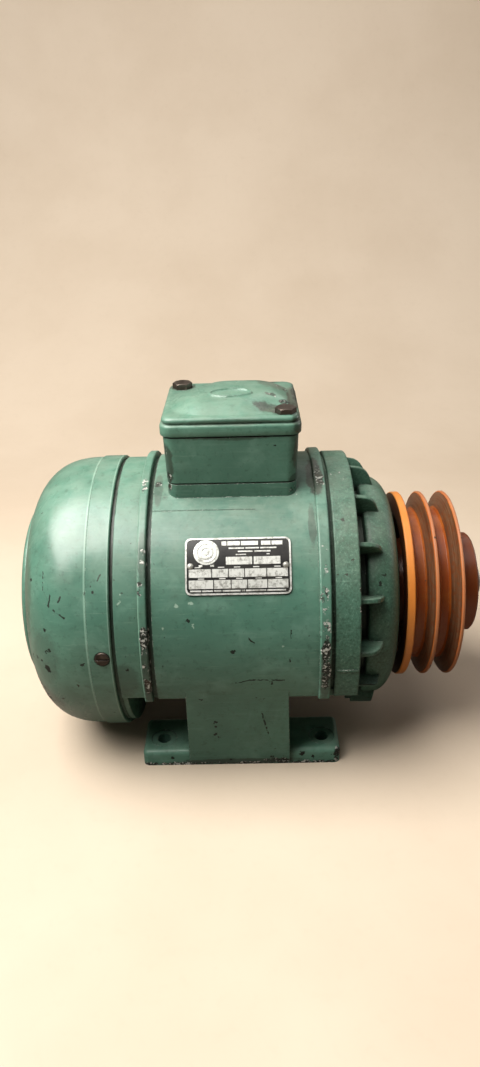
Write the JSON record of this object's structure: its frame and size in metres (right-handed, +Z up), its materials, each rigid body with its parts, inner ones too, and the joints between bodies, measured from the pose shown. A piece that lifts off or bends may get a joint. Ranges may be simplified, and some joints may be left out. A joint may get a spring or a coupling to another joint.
{
  "type": "electric motor",
  "caption": "Foot-mounted enclosed three-phase induction motor with round fan cover, top terminal box and V-belt pulley on the shaft.",
  "frame": {"origin": "centre of the four foot holes, on the base plane", "axes": "+X along the shaft towards the pulley, +Z up, shaft 120 mm above the base"},
  "size_m": [0.3758, 0.2364, 0.2971],
  "materials": {
    "paint_green": "worn gloss enamel over cast iron",
    "paint_green_box": "worn gloss enamel",
    "paint_orange": "worn satin paint, rubbed to metal in the grooves",
    "bolt_steel": "dull oxidised steel",
    "bright_steel": "ground",
    "bearing_steel": "polished",
    "laminations": "varnished sheet stack",
    "copper_winding": "varnished copper coils, laced",
    "cast_aluminium": "as cast",
    "brass_parts": "dull",
    "bakelite": "moulded, slightly glossy",
    "gasket_rubber": "matt",
    "felt_seal": "oiled felt",
    "wire_cover": "woven varnished sleeve",
    "tinned_copper": "tinned",
    "plate_metal": "printed black and silver"
  },
  "bodies": {
    "stator": {"stator_frame": "paint_green", "drive_end_shield": "paint_green", "fan_end_shield": "paint_green", "fan_cover": "paint_green", "fan_cover_screws": "bolt_steel", "terminal_box_body": "paint_green_box", "terminal_box_gasket": "gasket_rubber", "terminal_box_screws": "bright_steel", "lid_gasket": "gasket_rubber", "terminal_block": "bakelite", "terminal_block_screws": "brass_parts", "terminal_studs": "brass_parts", "terminal_nuts": "brass_parts", "link_bars": "brass_parts", "lead_lugs": "tinned_copper", "lead_wires": "wire_cover", "earth_screw": "brass_parts", "cable_gland_body": "brass_parts", "cable_gland_seal": "gasket_rubber", "cable_gland_nut": "brass_parts", "nameplate": "plate_metal", "nameplate_rivets": "bolt_steel", "stator_core": "laminations", "stator_winding": "copper_winding", "tie_bolts": "bolt_steel", "drive_bearing_outer_ring": "bearing_steel", "fan_bearing_outer_ring": "bearing_steel", "drive_bearing_cap": "paint_green", "drive_bearing_inner_cap": "cast_aluminium", "bearing_cap_screws": "bolt_steel", "shaft_seal": "felt_seal", "fan_bearing_cap": "bright_steel", "fan_bearing_cap_screws": "bright_steel", "wave_washer": "bright_steel"},
    "rotor": {"shaft": "bright_steel", "rotor_core": "laminations", "rotor_cage": "cast_aluminium", "pulley": "paint_orange", "pulley_key": "bright_steel", "pulley_set_screw": "bolt_steel", "fan": "cast_aluminium", "fan_key": "bright_steel", "fan_circlip": "bright_steel", "drive_bearing_inner_ring": "bearing_steel", "fan_bearing_inner_ring": "bearing_steel"},
    "drive_balls": {"drive_bearing_balls": "bearing_steel", "drive_bearing_cage": "brass_parts"},
    "fan_balls": {"fan_bearing_balls": "bearing_steel", "fan_bearing_cage": "brass_parts"},
    "lid": {"terminal_lid": "paint_green_box"},
    "lid_bolt_pair": {"lid_bolts": "bolt_steel"}
  },
  "joints": [
    {"name": "rotor_spin", "type": "hinge", "parent": "stator", "child": "rotor", "pos_m": [0, 0, 0.12], "axis": [1, 0, 0], "continuous": true},
    {"name": "drive_balls_orbit", "type": "hinge", "parent": "stator", "child": "drive_balls", "pos_m": [0, 0, 0.12], "axis": [1, 0, 0], "continuous": true},
    {"name": "fan_balls_orbit", "type": "hinge", "parent": "stator", "child": "fan_balls", "pos_m": [0, 0, 0.12], "axis": [1, 0, 0], "continuous": true},
    {"name": "lid_lift", "type": "slide", "parent": "stator", "child": "lid", "axis": [0, 0, 1], "range_m": [0, 0.07]},
    {"name": "lid_bolts_lift", "type": "slide", "parent": "stator", "child": "lid_bolt_pair", "axis": [0, 0, 1], "range_m": [0, 0.12]}
  ],
  "couplings": [
    {"joint": "drive_balls_orbit", "follows": "rotor_spin", "ratio": 0.3794},
    {"joint": "fan_balls_orbit", "follows": "rotor_spin", "ratio": 0.3678},
    {"joint": "lid_lift", "follows": "lid_bolts_lift", "ratio": 0.58333}
  ]
}
